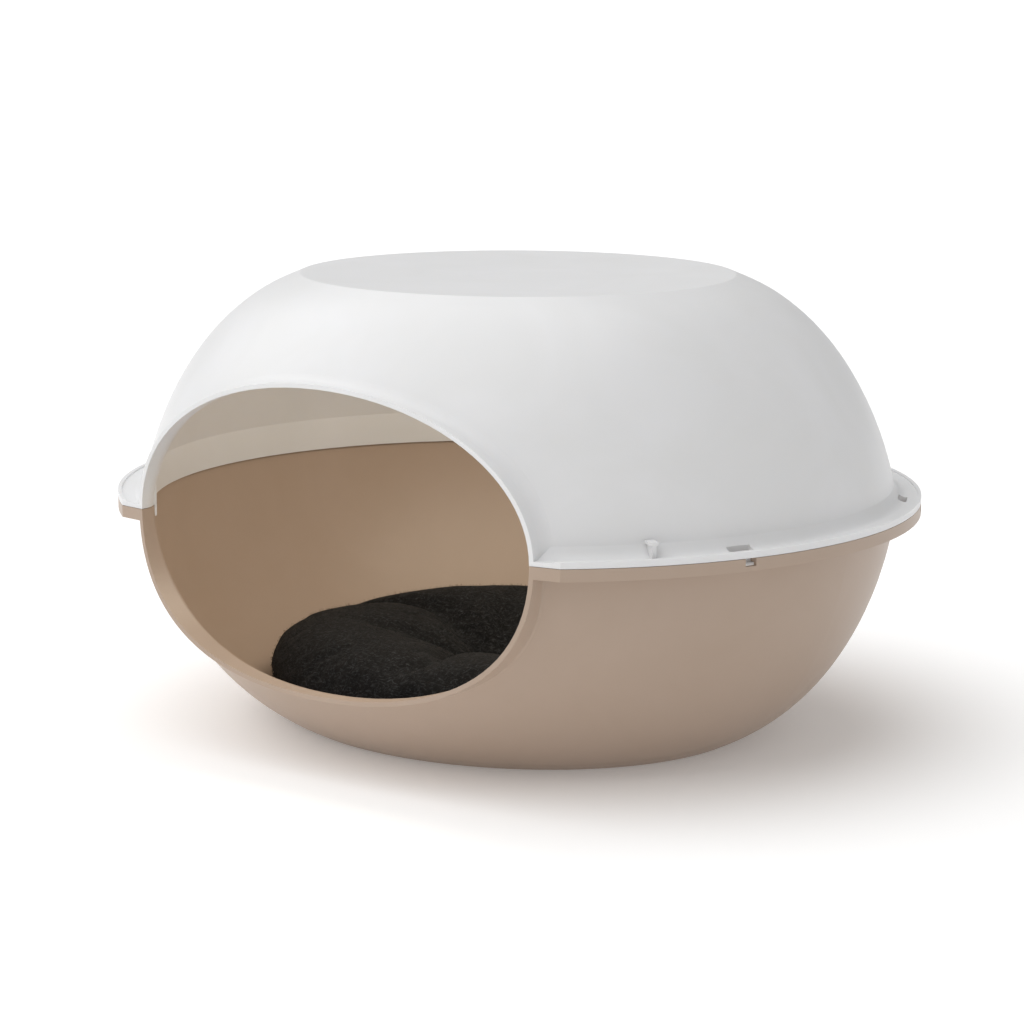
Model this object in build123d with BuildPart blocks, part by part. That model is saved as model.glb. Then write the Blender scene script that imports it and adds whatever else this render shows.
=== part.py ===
from build123d import *
from math import cos, radians, sin, sqrt
import os

# Oval pet pod: an open tub, a hood that snaps onto its rim, and a loose tufted cushion.
# Millimetres, +Z up. The origin is the centre of the tub's flat underside, X runs along
# the long axis and the entrance faces -Y.

# ---------- driving dimensions ----------
half_length = 267.5          # outside of the wall at the seam, along X
half_width = 255.2           # outside of the wall at the seam, along Y
tub_height = 161.6           # floor to the seam
hood_height = 153.4          # seam to the flat top
wall = 3.0                   # moulded wall of both shells
rim_reach = 17.5             # how far the rims stand out from the wall
rim_thickness = 3.0          # plate thickness of both rims
seam_gap = 0.3               # between the two rims

entrance_reach = 224.0       # the entrance is sliced this far in front of the centre
entrance_bow = 1150.0        # radius of the slice, which bulges forward in its middle
entrance_lead = 3.0          # the collar is made this much longer, then cut by the slice
entrance_half_width = 164.3  # outside of the entrance collar, at the seam
entrance_rise = 100.8        # outside of the collar above the seam
entrance_drop = 107.4        # outside of the collar below the seam
rise_fullness = 0.574        # how square the outline is above the seam, 0.552 is an ellipse
drop_fullness = 0.647        # the same below the seam
hood_flare_radius = 12.0     # soft concave blend from the hood into its collar
tub_flare_radius = 3.0       # tight blend behind the tub's lip

# profile of the hood: (radius share)^roundness + (height / reach)^bulge = 1
hood_roundness = 4.02
hood_bulge = 1.4
hood_reach = 13.1            # the curve would close this far above the flat top
top_edge_radius = 2.5

# profile of the tub, measured down from the seam in the same way
tub_roundness = 4.08
tub_bulge = 1.605
tub_reach = 18.1             # the curve would close this far below the floor
tub_narrowing = 0.0925       # extra narrowing along Y at the floor
floor_edge_radius = 6.0

bead_width = 2.5             # raised bead along the hood rim's outer edge
bead_height = 1.2
skirt_depth = 8.0            # down-turned edge of the tub's rim
skirt_thickness = 3.0
flare_reach = 7.0            # concave flare where the hood's wall meets its rim
flare_height = 10.0

locator_depth = 7.5         # the hood's inner skirt hangs this far into the tub
locator_thickness = 1.8
locator_clearance = 0.8      # at the seam; the tub narrows by half of it at the locator's lower edge
locator_root = 24.0          # its inner face runs this far up, into the dome's wall

# snap hooks: four, mirrored about both axes; radial sizes run inwards from the rim's edge
hook_angle = 24.2            # degrees on the rim's ellipse, from the long axis
hook_setback = 7.0           # rim edge to the hook's outer face
hook_thickness = 2.2
hook_width = 15.0
hook_length = 6.6            # hinge line to tip
hook_gap = 0.2               # between the hook's round root and the rim above it
barb_reach = 1.2             # barb beyond the hook's outer face
barb_clearance = 0.3         # between the barb and the rim plate it catches under
barb_height = 3.0
barb_slope = 0.5             # drop of the barb's holding face over its reach, so a pull releases it
slot_play = 0.4              # hook's outer face to the edge that holds the barb
slot_side_play = 1.0
flex_room = 6.6              # room behind the hook for it to bend
shutoff_width = 6.0          # slot in the hood's rim behind the hook, where the mould reaches through
shutoff_length = 17.5
shutoff_gap = 0.4            # between the hook's inner face and that slot
notch_width = 8.0            # release notch in the tub's down-turned edge
notch_depth = 5.0

# two small T-shaped gussets between the hood's wall and its rim, opposite each other
gusset_angle = 37.5
gusset_thickness = 3.0
gusset_reach = 9.0           # from the wall's outside at the seam
gusset_height = 10.0
gusset_cap_width = 6.0
gusset_cap_height = 2.0

# cushion
cushion_half_length = 188.0
cushion_half_width = 168.0
cushion_thickness = 58.0
cushion_edge_radius = 27.0
cushion_clearance = 0.4      # between the tub's floor and the knot under the cushion
fabric = 1.6                 # thickness of each fabric panel
panel_gap = 0.2              # between the panels and the filling
tuft_shank_radius = 1.5
tuft_knot_radius = 4.0
tuft_knot_height = 1.2
tuft_play = 0.2

seam = tub_height
hood_underside = seam + seam_gap
rim_half_length = half_length + rim_reach
rim_half_width = half_width + rim_reach
top = tub_height + hood_height


# ---------- profiles ----------
def hood_share(height, shell_height):
    """Radius of the hood at a height above the seam, as a share of its radius at the seam."""
    return (1 - (height / (shell_height + hood_reach)) ** hood_bulge) ** (1 / hood_roundness)


def tub_share(depth, shell_depth):
    """Radius of the tub at a depth below the seam, as a share of its radius at the seam."""
    return (1 - (depth / (shell_depth + tub_reach)) ** tub_bulge) ** (1 / tub_roundness)


def hood_form(inset):
    """Closed dome, set in from the hood's outside by the inset."""
    height = hood_height - inset
    with BuildPart() as form:
        for step in (0, 0.06, 0.17, 0.30, 0.44, 0.57, 0.70, 0.84, 0.94, 1):
            share = hood_share(step * height, height)
            with BuildSketch(Plane.XY.offset(seam + step * height)):
                Ellipse((half_length - inset) * share, (half_width - inset) * share)
        loft()
    return form.part


def tub_form(inset):
    """Closed bowl, set in from the tub's outside by the inset."""
    depth = tub_height - inset
    with BuildPart() as form:
        for step in (1, 0.95, 0.86, 0.74, 0.60, 0.45, 0.30, 0.15, 0):
            share = tub_share(step * depth, depth)
            narrowing = 1 - tub_narrowing * step ** 2
            with BuildSketch(Plane.XY.offset(seam - step * depth)):
                Ellipse((half_length - inset) * share, (half_width - inset) * share * narrowing)
        loft()
    return form.part


def beyond_flat_front(distance):
    """Everything in front of a flat plane."""
    with BuildPart() as block:
        with BuildSketch(Plane.XZ.offset(distance)):
            with Locations((0, seam)):
                Rectangle(4 * half_length, 4 * top)
        extrude(amount=half_length)
    return block.part


def beyond_entrance(setback=0):
    """Everything in front of the entrance's bowed slice, or of one set back from it."""
    with BuildPart() as block:
        with BuildSketch(Plane.XY):
            with Locations((0, -entrance_reach / 2)):
                Rectangle(4 * half_length, 2 * half_width, align=(Align.CENTER, Align.MAX))
            with Locations((0, entrance_bow - entrance_reach + setback)):
                Circle(entrance_bow, mode=Mode.SUBTRACT)
        extrude(amount=2 * top)
    return block.part


def entrance_tube(inset, rise, front):
    """Half of the entrance's tube: above the seam for a positive rise, below it for a negative one."""
    fullness = rise_fullness if rise > 0 else drop_fullness
    side = entrance_half_width - inset
    reach = rise - inset if rise > 0 else rise + inset
    shoulder = seam + fullness * reach
    end = seam + reach
    with BuildPart() as tube:
        with BuildSketch(Plane.XZ.offset(front)):
            with BuildLine():
                Bezier((side, seam), (side, shoulder), (fullness * side, end), (0, end))
                Bezier((0, end), (-fullness * side, end), (-side, shoulder), (-side, seam))
                Line((-side, seam), (side, seam))
            make_face()
        extrude(amount=-0.4 * front)
    return tube.part


def blended_form(body, inset, rise, radius):
    """A closed form sliced at the entrance, with the entrance's tube blended onto it."""
    front = entrance_reach + entrance_lead + 2 * inset
    with BuildPart() as form:
        add(body)
        add(beyond_flat_front(front), mode=Mode.SUBTRACT)
        add(entrance_tube(inset, rise, front))
        meeting_line = (
            form.edges()
            .filter_by(GeomType.BSPLINE)
            .filter_by(lambda edge: edge.bounding_box().max.Y < -0.6 * half_width)
            .filter_by(lambda edge: edge.bounding_box().size.Y > wall)
            .sort_by(SortBy.LENGTH)[-1]
        )
        fillet(meeting_line, radius + inset)
    return form.part


def ring(outer_inset, inner_inset, low, high):
    """Elliptical band around the shell, its faces set in from the rim's outer edge."""
    with BuildPart() as band:
        with BuildSketch(Plane.XY.offset(low)):
            Ellipse(rim_half_length - outer_inset, rim_half_width - outer_inset)
            Ellipse(rim_half_length - inner_inset, rim_half_width - inner_inset, mode=Mode.SUBTRACT)
        extrude(amount=high - low)
    return band.part


def rim_plane(angle, height):
    """Plane on the rim's outer edge: local X points straight out, local Y along the rim."""
    place = (rim_half_length * cos(radians(angle)), rim_half_width * sin(radians(angle)), height)
    outward = (cos(radians(angle)) / rim_half_length, sin(radians(angle)) / rim_half_width, 0)
    return Plane(origin=place, x_dir=outward, z_dir=(0, 0, 1))


def hook_plane(angle, height):
    """Upright plane across the rim: local X points straight out, local Y points up."""
    flat = rim_plane(angle, height)
    return Plane(origin=flat.origin, x_dir=flat.x_dir, z_dir=flat.x_dir.cross(Vector(0, 0, 1)))


hook_places = {
    "front_right": -hook_angle,
    "front_left": hook_angle - 180,
    "rear_right": hook_angle,
    "rear_left": 180 - hook_angle,
}
gusset_places = (-gusset_angle, 180 - gusset_angle)

# ---------- tub ----------
plate_slot_width = hook_thickness + slot_play + flex_room
plate_slot_centre = -(hook_setback - slot_play) - plate_slot_width / 2

with BuildPart() as rim_ends:
    add(ring(0, rim_reach + wall / 2, seam - skirt_depth, seam))
    add(beyond_entrance(skirt_thickness), mode=Mode.INTERSECT)

with BuildPart() as base_tub:
    add(blended_form(tub_form(0), 0, -entrance_drop, tub_flare_radius))
    add(ring(0, rim_reach + wall / 2, seam - rim_thickness, seam))
    add(ring(0, skirt_thickness, seam - skirt_depth, seam))
    add(rim_ends.part)
    add(beyond_entrance(), mode=Mode.SUBTRACT)
    add(blended_form(tub_form(wall), wall, -entrance_drop, tub_flare_radius), mode=Mode.SUBTRACT)
    for angle in hook_places.values():
        with BuildSketch(rim_plane(angle, seam)):
            with Locations((plate_slot_centre, 0)):
                Rectangle(plate_slot_width, hook_width + 2 * slot_side_play)
        extrude(amount=-rim_thickness, mode=Mode.SUBTRACT)
        with BuildSketch(rim_plane(angle, seam)):
            Rectangle(2 * hook_setback, notch_width)
        extrude(amount=-notch_depth, mode=Mode.SUBTRACT)
    fillet(base_tub.edges().group_by(Axis.Z)[0], floor_edge_radius)
base_tub.part.label = "base_tub"

# ---------- hood ----------
rim_top = hood_underside + rim_thickness
locator_outer = rim_reach + wall + locator_clearance
locator_inner = locator_outer + locator_thickness
entrance_clear = entrance_half_width + 1
shutoff_centre = -(hook_setback + hook_thickness + shutoff_gap) - shutoff_width / 2

with BuildPart() as flare:
    for step in (0, 0.12, 0.3, 0.55, 0.8, 1):
        height = step * flare_height
        reach = flare_reach * (1 - sqrt(1 - (1 - step) ** 2)) - 0.3 * step
        share = hood_share(rim_top - seam + height, hood_height)
        with BuildSketch(Plane.XY.offset(rim_top + height)):
            Ellipse(half_length * share + reach, half_width * share + reach)
    loft()

with BuildPart() as locator:
    add(ring(rim_reach - wall, locator_inner, hood_underside, hood_underside + locator_root))
    add(hood_form(wall / 2), mode=Mode.INTERSECT)
    add(ring(locator_outer, locator_inner, seam - locator_depth, hood_underside))
    with BuildSketch(Plane.XY.offset(seam - locator_depth)):
        Rectangle(2 * entrance_clear, half_width, align=(Align.CENTER, Align.MAX))
    extrude(amount=locator_depth + seam_gap + locator_root, mode=Mode.SUBTRACT)


def gusset(angle):
    """Upright web with a wider cap, from inside the hood's wall out over its rim."""
    start = -rim_reach - wall / 2
    with BuildPart() as web:
        with BuildSketch(rim_plane(angle, rim_top - rim_thickness / 2)):
            with Locations((start, 0)):
                Rectangle(wall / 2 + gusset_reach, gusset_thickness, align=(Align.MIN, Align.CENTER))
        extrude(amount=gusset_height + rim_thickness / 2)
        with BuildSketch(rim_plane(angle, rim_top + gusset_height - gusset_cap_height)):
            with Locations((start, 0)):
                Rectangle(wall / 2 + gusset_reach, gusset_cap_width, align=(Align.MIN, Align.CENTER))
        extrude(amount=gusset_cap_height)
        add(hood_form(wall / 2), mode=Mode.SUBTRACT)
    return web.part


with BuildPart() as dome:
    add(hood_form(0))
    fillet(dome.edges().sort_by(Axis.Z)[-1], top_edge_radius)

with BuildPart() as hood_shell:
    add(blended_form(dome.part, 0, entrance_rise, hood_flare_radius))
    add(flare.part)
    add(ring(0, rim_reach + wall / 2, seam, rim_top))
    add(ring(0, bead_width, seam, rim_top + bead_height))
    add(beyond_entrance(), mode=Mode.SUBTRACT)
    add(blended_form(hood_form(wall), wall, entrance_rise, hood_flare_radius), mode=Mode.SUBTRACT)
    with BuildSketch(Plane.XY.offset(seam)):
        Rectangle(4 * half_length, 4 * half_width)
    extrude(amount=seam_gap, mode=Mode.SUBTRACT)
    for angle in hook_places.values():
        with BuildSketch(rim_plane(angle, hood_underside)):
            with Locations((shutoff_centre, 0)):
                Rectangle(shutoff_width, shutoff_length)
        extrude(amount=rim_thickness + flare_height, mode=Mode.SUBTRACT)
    add(locator.part)
    for angle in gusset_places:
        add(gusset(angle))
hood_shell.part.label = "hood_shell"

# ---------- snap hooks ----------
hinge_height = hood_underside - hook_gap - hook_thickness / 2
barb_top = seam - rim_thickness - barb_clearance - hinge_height
outer_face = -hook_setback
inner_face = outer_face - hook_thickness


def snap_hook(name, angle):
    """Finger with a round root at its hinge line and a barb on its outer face."""
    with BuildPart() as hook:
        with BuildSketch(hook_plane(angle, hinge_height)):
            with Locations((outer_face - hook_thickness / 2, 0)):
                Circle(hook_thickness / 2)
            with BuildLine():
                Polyline(
                    (inner_face, 0),
                    (outer_face, 0),
                    (outer_face, barb_top),
                    (outer_face + barb_reach, barb_top - barb_slope),
                    (outer_face, barb_top - barb_height),
                    (outer_face, -hook_length),
                    (inner_face, -hook_length),
                    close=True,
                )
            make_face()
        extrude(amount=hook_width / 2, both=True)
    hook.part.label = f"snap_hook_{name}"
    return hook.part


snap_hooks = [snap_hook(name, angle) for name, angle in hook_places.items()]

# ---------- cushion ----------
cushion_bottom = wall + cushion_clearance + tuft_knot_height
cushion_top = cushion_bottom + cushion_thickness
cushion_middle = cushion_bottom + cushion_thickness / 2


def cushion_form(inset):
    """Puffed oval pad, set in from the cushion's outside by the inset."""
    with BuildPart() as form:
        with BuildSketch(Plane.XY.offset(cushion_bottom + inset)):
            Ellipse(cushion_half_length - inset, cushion_half_width - inset)
        extrude(amount=cushion_thickness - 2 * inset)
        fillet(form.edges().filter_by(GeomType.ELLIPSE), cushion_edge_radius - inset)
    return form.part


def tuft_hole(form):
    """A pad with the hole that its stitch passes through."""
    with BuildPart() as pierced:
        add(form)
        with BuildSketch(Plane.XY.offset(cushion_bottom)):
            Circle(tuft_shank_radius + tuft_play)
        extrude(amount=cushion_thickness, mode=Mode.SUBTRACT)
    return pierced.part


def fabric_panel(name, low, high):
    """Half of the cushion's cover, between two heights."""
    with BuildPart() as panel:
        add(tuft_hole(cushion_form(0)))
        add(cushion_form(fabric), mode=Mode.SUBTRACT)
        with BuildSketch(Plane.XY.offset(low)):
            Rectangle(4 * cushion_half_length, 4 * cushion_half_width)
        extrude(amount=high - low, mode=Mode.INTERSECT)
    panel.part.label = name
    return panel.part


cushion_top_panel = fabric_panel("cushion_top_panel", cushion_middle, cushion_top)
cushion_bottom_panel = fabric_panel("cushion_bottom_panel", cushion_bottom, cushion_middle)
cushion_filling = tuft_hole(cushion_form(fabric + panel_gap))
cushion_filling.label = "cushion_filling"

with BuildPart() as tuft_stitch:
    with BuildSketch(Plane.XY.offset(cushion_bottom)):
        Circle(tuft_shank_radius)
    extrude(amount=cushion_thickness)
    with BuildSketch(Plane.XY.offset(cushion_top)):
        Circle(tuft_knot_radius)
    extrude(amount=tuft_knot_height)
    with BuildSketch(Plane.XY.offset(cushion_bottom)):
        Circle(tuft_knot_radius)
    extrude(amount=-tuft_knot_height)
tuft_stitch.part.label = "tuft_stitch"

# ---------- files ----------
os.makedirs("parts", exist_ok=True)
pieces = [base_tub.part, hood_shell.part, *snap_hooks]
pieces += [cushion_top_panel, cushion_bottom_panel, cushion_filling, tuft_stitch.part]
for piece in pieces:
    export_step(piece, f"parts/{piece.label}.step")

# The hooks' hinge lines, for whoever poses them.
for name, angle in hook_places.items():
    hinge = rim_plane(angle, hinge_height) * Location((outer_face - hook_thickness / 2, 0, 0))
    along = rim_plane(angle, hinge_height).y_dir
    print(name, [round(value, 3) for value in hinge.position], [round(value, 5) for value in along])
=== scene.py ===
import bmesh
import bpy
import random
from math import atan2, cos, exp, hypot, pi, radians, sin, tau
from mathutils import Matrix, Vector, noise


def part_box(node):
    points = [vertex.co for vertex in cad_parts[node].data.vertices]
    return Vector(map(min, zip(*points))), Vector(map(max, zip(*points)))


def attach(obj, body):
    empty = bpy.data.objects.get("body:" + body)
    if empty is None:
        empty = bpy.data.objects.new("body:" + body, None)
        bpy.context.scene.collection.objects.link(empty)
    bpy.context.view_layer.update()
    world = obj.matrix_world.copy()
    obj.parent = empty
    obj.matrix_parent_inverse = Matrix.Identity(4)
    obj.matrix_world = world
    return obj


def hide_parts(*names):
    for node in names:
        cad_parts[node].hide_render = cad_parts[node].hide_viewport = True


# Looks of an oval pet pod: a white hood over a taupe tub, and a tufted fleece cushion.
# Metres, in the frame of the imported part.

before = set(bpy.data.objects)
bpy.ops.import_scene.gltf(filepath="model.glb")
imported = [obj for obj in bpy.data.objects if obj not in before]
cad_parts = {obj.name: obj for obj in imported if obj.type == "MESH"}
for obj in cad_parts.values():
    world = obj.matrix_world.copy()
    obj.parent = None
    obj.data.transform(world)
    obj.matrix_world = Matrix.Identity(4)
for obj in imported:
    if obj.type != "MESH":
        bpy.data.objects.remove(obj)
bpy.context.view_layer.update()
MM = 0.001

# ---------- sizes of the soft pieces ----------
cover_low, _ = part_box("cushion_bottom_panel")
_, cover_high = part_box("cushion_top_panel")
half_length = cover_high.x
half_width = cover_high.y
cover_bottom = cover_low.z
cover_top = cover_high.z
crest_rise = 7 * MM          # the filling may lift the cover this far past the panel's top
crest_height = cover_top + crest_rise
seam_drop = 5 * MM           # the edge seam lies this far under the middle of the thickness
seam_height = (cover_bottom + cover_top) / 2 - seam_drop

start_inset = 4 * MM         # the cover starts this much smaller and swells
voxel = 5 * MM
puff_cap = 9 * MM            # the furthest that a point may swell
puff_frames = 18
puff_pressure = 4.0
tuft_hold = 7 * MM           # the cover is held within this distance of the tuft
edge_hold = 0.965            # and beyond this share of the radius
base_hold = 1.5 * MM         # and this close to the tub's floor
tuft_depth = 0.76            # share of the thickness that the tuft pulls down
tuft_spread = 0.235           # share of the radius over which the dip fades
seam_pull = 2.2 * MM         # the edge seam draws in
seam_reach = 3.2 * MM        # height over which the seam's pull fades
seam_samples = 120
crease_depth = 1.7 * MM
stitch_pitch = 4.5 * MM
stitch_length = 2.8 * MM
stitch_radius = 0.45 * MM
fuzz_length = 2.4 * MM
fuzz_width = 0.16 * MM
fuzz_count = 26000
fuzz_lean = 0.9              # a fibre leans up to this many radians from upright
fuzz_shortest = 0.35         # share of the full length
fuzz_middle = 0.42           # share of its length at which a fibre's middle stands
cover_rings = 46
cover_spokes = 180
lump_height = 1.6 * MM
base_dimple = 6 * MM         # the tuft lifts the underside this much
least_thickness = 4 * MM
thread_radius = 0.55 * MM
thread_turns = 6
thread_reach = 4.2 * MM      # from the tuft's middle to where a turn goes down
thread_scatter = 0.5 * MM
thread_stack = 0.12 * MM     # each turn lies this much over the last

# Folds run out from the tuft: (degrees, depth, half width, share of the radius they reach).
folds = (
    (172, 17 * MM, 15 * MM, 1.05),
    (222, 7.0 * MM, 12 * MM, 0.66),
    (262, 9.0 * MM, 13 * MM, 0.85),
    (300, 8.0 * MM, 11 * MM, 0.70),
    (338, 10 * MM, 14 * MM, 0.90),
    (20, 7.0 * MM, 12 * MM, 0.65),
    (62, 10 * MM, 15 * MM, 0.95),
    (104, 7.0 * MM, 12 * MM, 0.70),
    (140, 8.0 * MM, 12 * MM, 0.75),
)


# ---------- small helpers ----------
def linear(code):
    """Linear colour of an sRGB hex value."""
    channels = [int(code[at : at + 2], 16) / 255 for at in (0, 2, 4)]
    return [c / 12.92 if c <= 0.04045 else ((c + 0.055) / 1.055) ** 2.4 for c in channels]


def add(tree, kind, sockets=None, **settings):
    """One node, with its settings, values and links."""
    node = tree.nodes.new(kind)
    for name, value in settings.items():
        setattr(node, name, value)
    for name, value in (sockets or {}).items():
        if isinstance(value, bpy.types.NodeSocket):
            tree.links.new(value, node.inputs[name])
        else:
            node.inputs[name].default_value = value
    return node


def new_material(name):
    """Empty material and its tree."""
    material = bpy.data.materials.new(name)
    material.use_nodes = True
    material.node_tree.nodes.clear()
    return material, material.node_tree


def new_object(name, mesh):
    """Mesh as an object of the scene."""
    piece = bpy.data.objects.new(name, mesh)
    bpy.context.scene.collection.objects.link(piece)
    return piece


def ramp(tree, factor, low, high, low_colour, high_colour):
    """Two-stop colour ramp."""
    node = add(tree, "ShaderNodeValToRGB", {"Fac": factor})
    stops = ((low, low_colour), (high, high_colour))
    for stop, (place, colour) in zip(node.color_ramp.elements, stops):
        stop.position = place
        stop.color = (*colour, 1)
    return node.outputs["Color"]


# ---------- materials ----------
def moulded_polypropylene(name, tone, deep_tone, roughness, scatter):
    """Injection-moulded polypropylene: an even colour with faint flow clouds, and the fine
    eroded grain of the mould, which breaks the gloss into a soft satin."""
    material, tree = new_material(name)
    place = add(tree, "ShaderNodeTexCoord").outputs["Object"]
    flow = add(
        tree,
        "ShaderNodeTexNoise",
        {
            "Vector": place,
            "Scale": 1 / (90 * MM),
            "Detail": 3.0,
            "Roughness": 0.55,
            "Distortion": 0.6,
        },
    )
    grain = add(
        tree,
        "ShaderNodeTexNoise",
        {"Vector": place, "Scale": 1 / (0.9 * MM), "Detail": 2.0, "Roughness": 0.6},
    )
    pits = add(
        tree,
        "ShaderNodeTexVoronoi",
        {"Vector": place, "Scale": 1 / (1.6 * MM)},
        feature="SMOOTH_F1",
    )
    colour = ramp(tree, flow.outputs["Fac"], 0.35, 0.7, linear(deep_tone), linear(tone))
    gloss = add(
        tree,
        "ShaderNodeMapRange",
        {"Value": grain.outputs["Fac"], "To Min": roughness - 0.05, "To Max": roughness + 0.07},
    )
    relief = add(
        tree,
        "ShaderNodeMath",
        {0: grain.outputs["Fac"], 1: pits.outputs["Distance"]},
        operation="ADD",
    )
    bump = add(
        tree,
        "ShaderNodeBump",
        {"Height": relief.outputs[0], "Strength": 0.25, "Distance": 0.05 * MM},
    )
    shader = add(
        tree,
        "ShaderNodeBsdfPrincipled",
        {
            "Base Color": colour,
            "Roughness": gloss.outputs["Result"],
            "IOR": 1.49,
            "Normal": bump.outputs["Normal"],
            "Subsurface Weight": scatter,
            "Subsurface Radius": (1.0, 0.9, 0.8),
            "Subsurface Scale": 4 * MM,
        },
    )
    add(tree, "ShaderNodeOutputMaterial", {"Surface": shader.outputs["BSDF"]})
    return material


def brushed_fleece(name, yarn, fleck):
    """Brushed polyester fleece, knitted and then napped: near-black with paler loose fibres,
    and a soft bloom of light where the nap is seen edge on."""
    material, tree = new_material(name)
    place = add(tree, "ShaderNodeTexCoord").outputs["Object"]
    warped = add(
        tree,
        "ShaderNodeTexNoise",
        {"Vector": place, "Scale": 1 / (14 * MM), "Detail": 2.0},
    )
    bent = add(
        tree,
        "ShaderNodeVectorMath",
        {0: warped.outputs["Color"], "Scale": 9 * MM},
        operation="SCALE",
    )
    wandering = add(
        tree,
        "ShaderNodeVectorMath",
        {0: place, 1: bent.outputs[0]},
        operation="ADD",
    )
    # Clumps of fibre are about 1.3 mm across and 6 mm long; single ones are too fine to show.
    along_x = add(
        tree,
        "ShaderNodeMapping",
        {"Vector": wandering.outputs[0], "Scale": (0.22, 1.0, 1.0), "Rotation": (0, 0, 0.5)},
    )
    along_y = add(
        tree,
        "ShaderNodeMapping",
        {"Vector": wandering.outputs[0], "Scale": (1.0, 0.22, 1.0), "Rotation": (0, 0, 0.2)},
    )
    clumps = [
        add(
            tree,
            "ShaderNodeTexNoise",
            {"Vector": turned.outputs[0], "Scale": 1 / (1.3 * MM), "Detail": 4.0, "Roughness": 0.7},
        ).outputs["Fac"]
        for turned in (along_x, along_y)
    ]
    nap = add(tree, "ShaderNodeMath", {0: clumps[0], 1: clumps[1]}, operation="MAXIMUM")
    colour = ramp(tree, nap.outputs[0], 0.53, 0.78, linear(yarn), linear(fleck))
    patches = add(
        tree,
        "ShaderNodeTexNoise",
        {"Vector": place, "Scale": 1 / (30 * MM), "Detail": 3.0, "Roughness": 0.6},
    )
    shade = ramp(tree, patches.outputs["Fac"], 0.3, 0.7, (0.72, 0.72, 0.72), (1.0, 1.0, 1.0))
    mixed = add(
        tree,
        "ShaderNodeMix",
        {0: 1.0, 6: colour, 7: shade},
        data_type="RGBA",
        blend_type="MULTIPLY",
    )
    bump = add(
        tree,
        "ShaderNodeBump",
        {"Height": nap.outputs[0], "Strength": 0.8, "Distance": 0.9 * MM},
    )
    shader = add(
        tree,
        "ShaderNodeBsdfPrincipled",
        {
            "Base Color": mixed.outputs[2],
            "Roughness": 0.93,
            "IOR": 1.5,
            "Specular IOR Level": 0.2,
            "Sheen Weight": 0.06,
            "Sheen Roughness": 0.45,
            "Sheen Tint": (*linear("8C8A88"), 1),
            "Normal": bump.outputs["Normal"],
        },
    )
    add(tree, "ShaderNodeOutputMaterial", {"Surface": shader.outputs["BSDF"]})
    return material


def spun_thread(name, tone):
    """Twisted polyester sewing thread: dark, slightly glossy, with the twist across it."""
    material, tree = new_material(name)
    place = add(tree, "ShaderNodeTexCoord").outputs["Object"]
    twist = add(
        tree,
        "ShaderNodeTexWave",
        {"Vector": place, "Scale": 1 / (2.4 * MM), "Distortion": 1.5, "Detail": 1.0},
        bands_direction="DIAGONAL",
    )
    colour = ramp(tree, twist.outputs["Fac"], 0.2, 0.8, linear("161616"), linear(tone))
    bump = add(
        tree,
        "ShaderNodeBump",
        {"Height": twist.outputs["Fac"], "Strength": 0.6, "Distance": 0.12 * MM},
    )
    shader = add(
        tree,
        "ShaderNodeBsdfPrincipled",
        {"Base Color": colour, "Roughness": 0.6, "IOR": 1.55, "Normal": bump.outputs["Normal"]},
    )
    add(tree, "ShaderNodeOutputMaterial", {"Surface": shader.outputs["BSDF"]})
    return material


def studio_paper(name):
    """Matt white backdrop paper."""
    material, tree = new_material(name)
    place = add(tree, "ShaderNodeTexCoord").outputs["Object"]
    tooth = add(tree, "ShaderNodeTexNoise", {"Vector": place, "Scale": 1 / (3 * MM), "Detail": 2.0})
    bump = add(
        tree,
        "ShaderNodeBump",
        {"Height": tooth.outputs["Fac"], "Strength": 0.05, "Distance": 0.1 * MM},
    )
    shader = add(
        tree,
        "ShaderNodeBsdfPrincipled",
        {
            "Base Color": (*linear("FBFBFB"), 1),
            "Roughness": 0.95,
            "Specular IOR Level": 0.0,
            "Normal": bump.outputs["Normal"],
            "Emission Color": (1, 1, 1, 1),
            "Emission Strength": 0.15,
        },
    )
    add(tree, "ShaderNodeOutputMaterial", {"Surface": shader.outputs["BSDF"]})
    return material


white_plastic = moulded_polypropylene("white_polypropylene_moulded", "E9E9EA", "E5E5E5", 0.36, 0.12)
taupe_plastic = moulded_polypropylene("taupe_polypropylene_moulded", "B49F8E", "B19C8A", 0.37, 0.05)
fleece = brushed_fleece("charcoal_fleece_brushed", "0D0D0E", "484A4D")
thread = spun_thread("black_polyester_thread_spun", "3A3A3A")
paper = studio_paper("white_backdrop_paper")

hood_nodes = ["hood_shell"] + [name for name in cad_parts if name.startswith("snap_hook")]
for name in hood_nodes:
    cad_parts[name].data.materials.clear()
    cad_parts[name].data.materials.append(white_plastic)
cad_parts["base_tub"].data.materials.clear()
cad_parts["base_tub"].data.materials.append(taupe_plastic)


# ---------- cushion ----------
def fold_depth(x, y, share):
    """Depth of the folds at a point whose distance from the tuft is that share of the radius."""
    depth = 0.0
    for turn, deep, half, reach in folds:
        bend = radians(turn) + 0.22 * sin(5 * share + turn)
        along = x * cos(bend) + y * sin(bend)
        across = abs(y * cos(bend) - x * sin(bend))
        if along <= 0 or share > reach:
            continue
        width = half * (0.35 + 1.1 * share)
        fade = (1 - (share / reach) ** 2) * min(1, share / 0.06)
        depth += deep * fade * exp(-((across / width) ** 2))
    return depth


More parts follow.
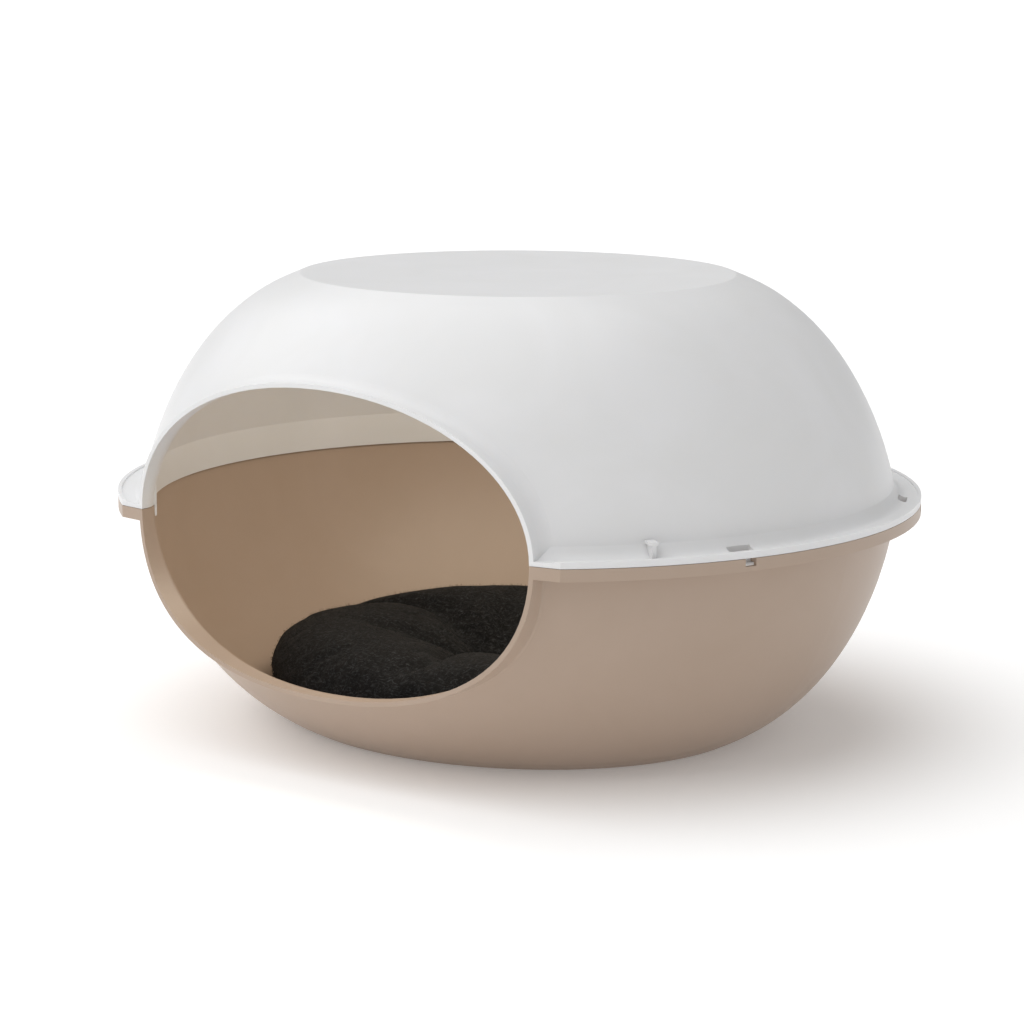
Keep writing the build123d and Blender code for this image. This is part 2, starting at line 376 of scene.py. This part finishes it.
def cover_height(x, y, inset):
    """Heights of the cover's lower and upper side above a point of its oval."""
    share = min(1.0, hypot(x / (half_length - inset), y / (half_width - inset)))
    rise = (cover_top - inset - seam_height) * (1 - share**7) ** 0.42
    drop = (seam_height - cover_bottom - inset) * (1 - share**6) ** 0.45
    thickness = rise + drop
    tuft = exp(-((share / tuft_spread) ** 1.3))
    crown = 0.93 + 0.07 * sin(pi * min(1, share / 0.95)) ** 2
    upper = seam_height + rise * crown - thickness * tuft_depth * tuft - fold_depth(x, y, share)
    lower = seam_height - drop + base_dimple * exp(-((share / 0.06) ** 2))
    lumps = lump_height * noise.noise(Vector((x * 16, y * 16, 3.0)))
    return lower, max(upper + lumps * (1 - share**4), lower + least_thickness)


def cushion_start():
    """Closed cover before it swells: rings of points on its upper and lower side."""
    form = bmesh.new()
    sides = []
    for upper in (0, 1):
        rows = []
        for ring in range(1, cover_rings):
            share = sin(pi / 2 * ring / cover_rings)
            row = []
            for spoke in range(cover_spokes):
                turn = tau * spoke / cover_spokes
                x = (half_length - start_inset) * share * cos(turn)
                y = (half_width - start_inset) * share * sin(turn)
                row.append(form.verts.new((x, y, cover_height(x, y, start_inset)[upper])))
            rows.append(row)
        middle = form.verts.new((0, 0, cover_height(0, 0, start_inset)[upper]))
        sides.append((middle, rows))
    edge = []
    for spoke in range(cover_spokes):
        turn = tau * spoke / cover_spokes
        x = (half_length - start_inset) * cos(turn)
        y = (half_width - start_inset) * sin(turn)
        edge.append(form.verts.new((x, y, seam_height)))
    for middle, rows in sides:
        rows.append(edge)
        for spoke in range(cover_spokes):
            after = (spoke + 1) % cover_spokes
            form.faces.new((middle, rows[0][spoke], rows[0][after]))
            for inner, outer in zip(rows, rows[1:]):
                form.faces.new((inner[spoke], outer[spoke], outer[after], inner[after]))
    bmesh.ops.recalc_face_normals(form, faces=form.faces)
    mesh = bpy.data.meshes.new("cushion_cover")
    form.to_mesh(mesh)
    form.free()
    return new_object("cushion_cover", mesh)


def applied(piece):
    """The piece's mesh with its modifiers applied."""
    depsgraph = bpy.context.evaluated_depsgraph_get()
    mesh = bpy.data.meshes.new_from_object(piece.evaluated_get(depsgraph))
    piece.modifiers.clear()
    piece.data = mesh
    return piece


def evenly_meshed(piece):
    """The piece rebuilt from small even faces."""
    remesh = piece.modifiers.new("even", "REMESH")
    remesh.mode = "VOXEL"
    remesh.voxel_size = voxel
    return applied(piece)


def swollen(piece):
    """The cover blown up by its filling, as cloth that the tuft and the edge seam hold."""
    before = [point.co.copy() for point in piece.data.vertices]
    held = piece.vertex_groups.new(name="held")
    for point in piece.data.vertices:
        near_tuft = hypot(point.co.x, point.co.y) < tuft_hold
        share = hypot(point.co.x / half_length, point.co.y / half_width)
        near_base = point.co.z < cover_bottom + start_inset + base_hold
        if near_tuft or share > edge_hold or near_base:
            held.add([point.index], 1.0, "REPLACE")
    cloth = piece.modifiers.new("filling", "CLOTH")
    cloth.settings.vertex_group_mass = "held"
    cloth.settings.pin_stiffness = 1.0
    cloth.settings.use_pressure = True
    cloth.settings.uniform_pressure_force = puff_pressure
    cloth.settings.shrink_min = -0.04
    cloth.settings.quality = 4
    cloth.settings.mass = 0.25
    cloth.settings.tension_stiffness = 12
    cloth.settings.compression_stiffness = 12
    cloth.settings.shear_stiffness = 6
    cloth.settings.bending_stiffness = 0.4
    cloth.settings.effector_weights.gravity = 0
    cloth.collision_settings.use_collision = False
    cloth.collision_settings.use_self_collision = False
    cloth.point_cache.frame_start = 1
    cloth.point_cache.frame_end = puff_frames
    for step in range(1, puff_frames + 1):
        bpy.context.scene.frame_set(step)
    applied(piece)
    bpy.context.scene.frame_set(1)
    for point, start in zip(piece.data.vertices, before):
        moved = point.co - start
        if moved.length > puff_cap:
            point.co = start + moved.normalized() * puff_cap
    return piece


def kept_inside(point, crown):
    """Keeps a point of the cover inside the space that the cushion has."""
    share = hypot(point.x / half_length, point.y / half_width)
    if share > 1:
        point.x /= share
        point.y /= share
    if crown > crest_height and point.z > seam_height:
        shrink = (crest_height - seam_height) / (crown - seam_height)
        point.z = seam_height + (point.z - seam_height) * shrink
    point.z = max(point.z, cover_bottom)


def sewn_edge(point):
    """Draws the cover in along its edge seam."""
    share = hypot(point.x / half_length, point.y / half_width)
    if share < 0.85:
        return
    near = exp(-(((point.z - seam_height) / seam_reach) ** 2))
    pull = 1 - seam_pull * near / half_width
    point.x *= pull
    point.y *= pull


def creased(point, normal):
    """Fine creases that run out from the tuft and fade towards the edge."""
    turn = atan2(point.y, point.x)
    share = hypot(point.x / half_length, point.y / half_width)
    if point.z < seam_height or share < 0.03:
        return
    wander = noise.noise(Vector((point.x * 22, point.y * 22, 1.5)))
    lines = noise.noise(Vector((7 * cos(turn) + wander, 7 * sin(turn) + wander, 4 * share)))
    sharp = 1 - abs(lines) * 4
    if sharp > 0:
        fade = exp(-(((share - 0.24) / 0.22) ** 2))
        point -= normal * (crease_depth * sharp * sharp * fade)


cover = evenly_meshed(cushion_start())
swollen(cover)
smooth = cover.modifiers.new("rounder", "SUBSURF")
smooth.levels = 1
smooth.render_levels = 1
applied(cover)
for point in cover.data.vertices:
    creased(point.co, point.normal.copy())
highest = max(point.co.z for point in cover.data.vertices)
for point in cover.data.vertices:
    sewn_edge(point.co)
    kept_inside(point.co, highest)
for face in cover.data.polygons:
    face.use_smooth = True
cover.data.materials.clear()
cover.data.materials.append(fleece)
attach(cover, "cushion")
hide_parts("cushion_top_panel", "cushion_bottom_panel", "cushion_filling")


# ---------- nap of the fleece ----------
def nap_tree():
    """Short bent fibres scattered over a surface, each two slim triangles."""
    tree = bpy.data.node_groups.new("fleece_nap", "GeometryNodeTree")
    tree.interface.new_socket("Geometry", in_out="INPUT", socket_type="NodeSocketGeometry")
    for name in ("Density", "Length", "Width"):
        tree.interface.new_socket(name, in_out="INPUT", socket_type="NodeSocketFloat")
    tree.interface.new_socket("Fleece", in_out="INPUT", socket_type="NodeSocketMaterial")
    tree.interface.new_socket("Geometry", in_out="OUTPUT", socket_type="NodeSocketGeometry")
    given = tree.nodes.new("NodeGroupInput").outputs
    points = add(
        tree,
        "GeometryNodeDistributePointsOnFaces",
        {"Mesh": given["Geometry"], "Density": given["Density"], "Seed": 7},
    )
    fibre = add(
        tree,
        "GeometryNodeMeshGrid",
        {"Size X": given["Width"], "Size Y": given["Length"], "Vertices X": 2, "Vertices Y": 2},
    )
    half = add(tree, "ShaderNodeMath", {0: given["Length"], 1: fuzz_middle}, operation="MULTIPLY")
    lift = add(tree, "ShaderNodeCombineXYZ", {"Z": half.outputs[0]})
    upright = add(
        tree,
        "GeometryNodeTransform",
        {
            "Geometry": fibre.outputs["Mesh"],
            "Rotation": (pi / 2, 0, 0),
            "Translation": lift.outputs[0],
        },
    )
    lean = add(
        tree,
        "FunctionNodeRandomValue",
        {0: (-fuzz_lean, -fuzz_lean, -pi), 1: (fuzz_lean, fuzz_lean, pi), "Seed": 3},
        data_type="FLOAT_VECTOR",
    )
    turned = add(
        tree,
        "FunctionNodeRotateRotation",
        {"Rotation": points.outputs["Rotation"], "Rotate By": lean.outputs[0]},
        rotation_space="LOCAL",
    )
    grown = add(
        tree,
        "FunctionNodeRandomValue",
        {2: fuzz_shortest, 3: 1.0, "Seed": 5},
        data_type="FLOAT",
    )
    fibres = add(
        tree,
        "GeometryNodeInstanceOnPoints",
        {
            "Points": points.outputs["Points"],
            "Instance": upright.outputs["Geometry"],
            "Rotation": turned.outputs["Rotation"],
            "Scale": grown.outputs[1],
        },
    )
    real = add(tree, "GeometryNodeRealizeInstances", {"Geometry": fibres.outputs["Instances"]})
    finish = add(
        tree,
        "GeometryNodeSetMaterial",
        {"Geometry": real.outputs["Geometry"], "Material": given["Fleece"]},
    )
    add(tree, "NodeGroupOutput", {"Geometry": finish.outputs["Geometry"]})
    return tree


def grown_from(name, source_mesh, tree, inputs):
    """Plain mesh piece that a tree makes from a mesh."""
    piece = new_object(name, source_mesh.copy())
    maker = piece.modifiers.new("maker", "NODES")
    maker.node_group = tree
    for item in tree.interface.items_tree:
        if item.in_out == "INPUT" and item.name in inputs:
            maker[item.identifier] = inputs[item.name]
    return applied(piece)


cover_area = sum(face.area for face in cover.data.polygons)
nap = grown_from(
    "cushion_nap",
    cover.data,
    nap_tree(),
    {
        "Density": fuzz_count / cover_area,
        "Length": fuzz_length,
        "Width": fuzz_width,
        "Fleece": fleece,
    },
)
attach(nap, "cushion")


# ---------- sewing ----------
def seam_line(count):
    """Mesh line round the cushion's edge seam."""
    best = [None] * count
    for point in cover.data.vertices:
        if abs(point.co.z - seam_height) > 3 * MM:
            continue
        slot = int((atan2(point.co.y, point.co.x) % tau) / tau * count) % count
        reach = hypot(point.co.x, point.co.y)
        if best[slot] is None or reach > best[slot]:
            best[slot] = reach
    known = [slot for slot in range(count) if best[slot]]
    mesh = bpy.data.meshes.new("seam_line")
    points = []
    for slot in known:
        turn = tau * (slot + 0.5) / count
        points.append((best[slot] * cos(turn), best[slot] * sin(turn), seam_height))
    edges = [(at, (at + 1) % len(points)) for at in range(len(points))]
    mesh.from_pydata(points, edges, [])
    return mesh


def stitch_tree():
    """Rounded stitches laid end to end along a line."""
    tree = bpy.data.node_groups.new("seam_stitches", "GeometryNodeTree")
    tree.interface.new_socket("Geometry", in_out="INPUT", socket_type="NodeSocketGeometry")
    for name in ("Pitch", "Length", "Radius"):
        tree.interface.new_socket(name, in_out="INPUT", socket_type="NodeSocketFloat")
    tree.interface.new_socket("Thread", in_out="INPUT", socket_type="NodeSocketMaterial")
    tree.interface.new_socket("Geometry", in_out="OUTPUT", socket_type="NodeSocketGeometry")
    given = tree.nodes.new("NodeGroupInput").outputs
    line = add(tree, "GeometryNodeMeshToCurve", {"Mesh": given["Geometry"]})
    steps = add(
        tree,
        "GeometryNodeResampleCurve",
        {"Curve": line.outputs["Curve"], "Length": given["Pitch"]},
        mode="LENGTH",
    )
    heading = add(tree, "GeometryNodeInputTangent")
    turned = add(
        tree,
        "FunctionNodeAlignRotationToVector",
        {"Vector": heading.outputs["Tangent"]},
        axis="Z",
    )
    bar = add(
        tree,
        "GeometryNodeMeshUVSphere",
        {"Segments": 8, "Rings": 6, "Radius": 1.0},
    )
    half = add(tree, "ShaderNodeMath", {0: given["Length"], 1: 0.5}, operation="MULTIPLY")
    size = add(
        tree,
        "ShaderNodeCombineXYZ",
        {"X": given["Radius"], "Y": given["Radius"], "Z": half.outputs[0]},
    )
    stitches = add(
        tree,
        "GeometryNodeInstanceOnPoints",
        {
            "Points": steps.outputs["Curve"],
            "Instance": bar.outputs["Mesh"],
            "Rotation": turned.outputs["Rotation"],
            "Scale": size.outputs[0],
        },
    )
    real = add(tree, "GeometryNodeRealizeInstances", {"Geometry": stitches.outputs["Instances"]})
    finish = add(
        tree,
        "GeometryNodeSetMaterial",
        {"Geometry": real.outputs["Geometry"], "Material": given["Thread"]},
    )
    add(tree, "NodeGroupOutput", {"Geometry": finish.outputs["Geometry"]})
    return tree


stitches = grown_from(
    "cushion_seam_stitches",
    seam_line(seam_samples),
    stitch_tree(),
    {
        "Pitch": stitch_pitch,
        "Length": stitch_length,
        "Radius": stitch_radius,
        "Thread": thread,
    },
)
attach(stitches, "cushion")


def tuft_height():
    """Height of the cover at the bottom of its dimple."""
    return max(
        point.co.z
        for point in cover.data.vertices
        if hypot(point.co.x, point.co.y) < 4 * MM and point.normal.z > 0
    )


def tuft_threads():
    """A few turns of thread that cross in the dimple and go down through the cushion."""
    chooser = random.Random(11)
    base = tuft_height()
    curve = bpy.data.curves.new("tuft_thread", "CURVE")
    curve.dimensions = "3D"
    curve.bevel_depth = thread_radius
    curve.bevel_resolution = 2
    curve.resolution_u = 6
    for turn in range(thread_turns):
        heading = pi * turn / thread_turns + chooser.uniform(-0.12, 0.12)
        reach = thread_reach + chooser.uniform(-thread_scatter, thread_scatter)
        strand = curve.splines.new("NURBS")
        shares = (-1.0, -0.95, -0.4, 0.4, 0.95, 1.0)
        heights = (-7.0, -0.6, 0.9, 0.9, -0.6, -7.0)
        strand.points.add(len(shares) - 1)
        for point, share, height in zip(strand.points, shares, heights):
            rise = height * MM + thread_stack * turn
            point.co = (reach * share * cos(heading), reach * share * sin(heading), base + rise, 1)
        strand.order_u = 3
        strand.use_endpoint_u = True
    made = new_object("tuft_thread_curve", curve)
    depsgraph = bpy.context.evaluated_depsgraph_get()
    mesh = bpy.data.meshes.new_from_object(made.evaluated_get(depsgraph))
    bpy.data.objects.remove(made)
    mesh.materials.clear()
    mesh.materials.append(thread)
    return new_object("tuft_thread", mesh)


tuft = tuft_threads()
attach(tuft, "cushion")
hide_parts("tuft_stitch")


# ---------- studio ----------
paper_rings = (0.001, 3.0, 12.0, 40.0, 120.0)
paper_spokes = 64


def backdrop():
    """Flat paper that runs far out on all sides."""
    mesh = bpy.data.meshes.new("backdrop")
    points = []
    for reach in paper_rings:
        for spoke in range(paper_spokes):
            turn = tau * spoke / paper_spokes
            points.append((reach * cos(turn), reach * sin(turn), 0.0))
    faces = []
    for ring in range(len(paper_rings) - 1):
        for spoke in range(paper_spokes):
            after = (spoke + 1) % paper_spokes
            low, high = ring * paper_spokes, (ring + 1) * paper_spokes
            faces.append((low + spoke, high + spoke, high + after, low + after))
    mesh.from_pydata(points, [], faces)
    mesh.materials.append(paper)
    return new_object("backdrop", mesh)


backdrop()

world = bpy.data.worlds.new("studio")
bpy.context.scene.world = world
world.use_nodes = True
world.node_tree.nodes.clear()
room_strength = 0.40
glow = add(
    world.node_tree,
    "ShaderNodeBackground",
    {"Color": (1, 1, 1, 1), "Strength": room_strength},
)
white = add(world.node_tree, "ShaderNodeBackground", {"Color": (1, 1, 1, 1), "Strength": 1.0})
seen = add(world.node_tree, "ShaderNodeLightPath")
both = add(
    world.node_tree,
    "ShaderNodeMixShader",
    {0: seen.outputs["Is Camera Ray"], 1: glow.outputs[0], 2: white.outputs[0]},
)
add(world.node_tree, "ShaderNodeOutputWorld", {"Surface": both.outputs[0]})


def soft_sun(name, toward, strength, spread):
    """Broad even light from one side."""
    light = bpy.data.lights.new(name, "SUN")
    light.energy = strength
    light.angle = radians(spread)
    lamp = bpy.data.objects.new(name, light)
    lamp.rotation_mode = "QUATERNION"
    lamp.rotation_quaternion = Vector(toward).normalized().to_track_quat("Z", "Y")
    bpy.context.scene.collection.objects.link(lamp)


# ---------- camera and lights ----------
camera_turn = radians(35.64)
camera_height = radians(10.37)
camera_reach = 2.0865
aim = Vector((0, 0, 0.1616))
sensor_width = 36
lens_share = 2.88828         # focal length over the sensor's width
# The aimed point lies this far right of the picture's middle and above it, over the focal length.
aim_right = 0.0018224
aim_up = 0.0078780

back = Vector(
    (
        sin(camera_turn) * cos(camera_height),
        -cos(camera_turn) * cos(camera_height),
        sin(camera_height),
    )
)
ahead = -back
right = ahead.cross(Vector((0, 0, 1))).normalized()
up = right.cross(ahead)
left_side = -right
key_toward = left_side * 0.45 - back * 0.10 + Vector((0, 0, 0.88))
key_strength = 2.2
key_spread = 90              # degrees across
soft_sun("key_light", key_toward, key_strength, key_spread)


def inner_glow(height, width, strength):
    """Light that the thin pale hood lets through to the inside."""
    light = bpy.data.lights.new("inner_glow", "AREA")
    light.shape = "DISK"
    light.size = width
    light.energy = strength
    light.color = (1.0, 0.90, 0.74)
    lamp = bpy.data.objects.new("inner_glow", light)
    lamp.location = (0, 0, height)
    lamp.visible_camera = False
    bpy.context.scene.collection.objects.link(lamp)


_, hood_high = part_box("hood_shell")
glow_drop = 12 * MM          # under the hood's top
glow_width = 260 * MM
glow_strength = 0.58
inner_glow(hood_high.z - glow_drop, glow_width, glow_strength)

look = (ahead - right * aim_right - up * aim_up).normalized()
side = look.cross(Vector((0, 0, 1))).normalized()
lens = bpy.data.cameras.new("camera")
lens.sensor_width = sensor_width
lens.lens = sensor_width * lens_share
lens.clip_end = 500
camera = bpy.data.objects.new("camera", lens)
bpy.context.scene.collection.objects.link(camera)
turned = Matrix((side, side.cross(look), -look)).transposed()
camera.matrix_world = Matrix.Translation(aim + back * camera_reach) @ turned.to_4x4()
bpy.context.scene.camera = camera
bpy.context.scene.view_settings.view_transform = "Standard"
